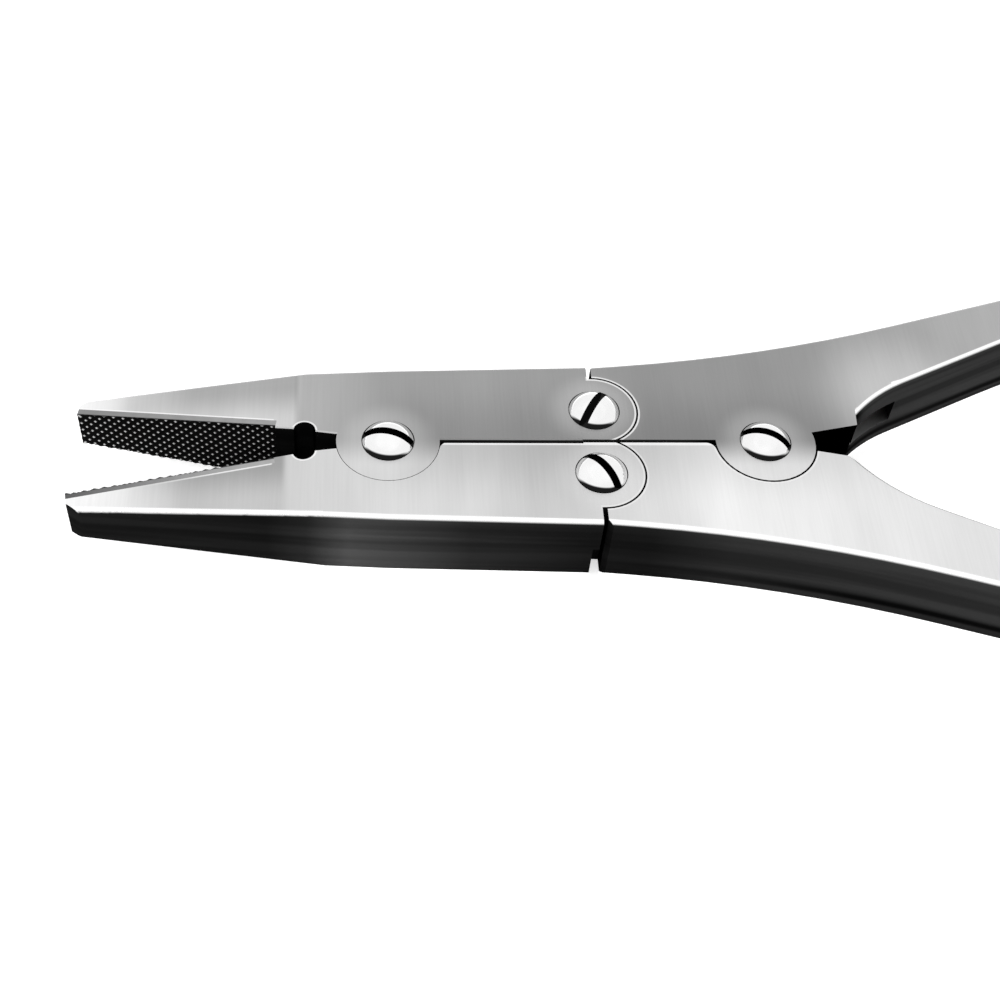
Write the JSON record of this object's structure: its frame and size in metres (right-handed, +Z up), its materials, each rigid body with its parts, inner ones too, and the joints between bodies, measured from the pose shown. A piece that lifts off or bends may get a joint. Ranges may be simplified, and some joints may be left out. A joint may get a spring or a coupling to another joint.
{
  "type": "surgical wire cutter",
  "caption": "Double-action flat-nose surgical wire cutter with cross-cut jaw inserts, a round side notch, domed slotted pivot screws and bowed handles held open by leaf springs.",
  "frame": {"origin": "on the resting face, under the axis of the jaw pivot, at the flush end of the pivot screw", "axes": "+X runs along the tool from the jaws to the handles, +Y across it to the jaw whose disc lies in front, +Z up through its thickness to the screw heads"},
  "size_m": [0.1772, 0.0682, 0.0101],
  "materials": {
    "upper_steel": "satin stainless steel, finely brushed across the tool",
    "lower_steel": "satin stainless steel, finely brushed across the tool",
    "screw_steel": "polished stainless steel",
    "insert_steel": "dark hard metal with cross-cut teeth",
    "spring_steel": "satin spring steel strip"
  },
  "bodies": {
    "lower_handle_side": {"lower_handle": "lower_steel", "lower_link_screw": "screw_steel", "handle_screw": "screw_steel", "lower_leaf_spring": "spring_steel", "lower_spring_screw": "screw_steel"},
    "upper_handle_side": {"upper_handle": "upper_steel", "upper_link_screw": "screw_steel", "upper_leaf_spring": "spring_steel", "upper_spring_screw": "screw_steel"},
    "lower_jaw_side": {"lower_jaw": "lower_steel", "lower_insert": "insert_steel", "jaw_screw": "screw_steel"},
    "upper_jaw_side": {"upper_jaw": "upper_steel", "upper_insert": "insert_steel"}
  },
  "joints": [
    {"name": "handle_squeeze", "type": "hinge", "parent": "lower_handle_side", "child": "upper_handle_side", "pos_m": [0.0387, 0, 0.0043], "axis": [0, 0, -1], "range_deg": [0, 22], "stiffness_Nm_per_rad": 0.6, "springref_deg": -17.19, "deforming": ["upper_leaf_spring", "lower_leaf_spring"]},
    {"name": "lower_link_pivot", "type": "hinge", "parent": "lower_handle_side", "child": "lower_jaw_side", "pos_m": [0.0213, -0.0042, 0.0043], "axis": [0, 0, -1], "range_deg": [0, 19.9]},
    {"name": "jaw_pivot", "type": "hinge", "parent": "lower_jaw_side", "child": "upper_jaw_side", "pos_m": [0, 0, 0.0043], "axis": [0, 0, 1], "range_deg": [0, 17.8]}
  ],
  "couplings": [
    {"joint": "lower_link_pivot", "follows": "handle_squeeze", "ratio": 0.9044},
    {"joint": "jaw_pivot", "follows": "handle_squeeze", "ratio": 0.8087}
  ]
}
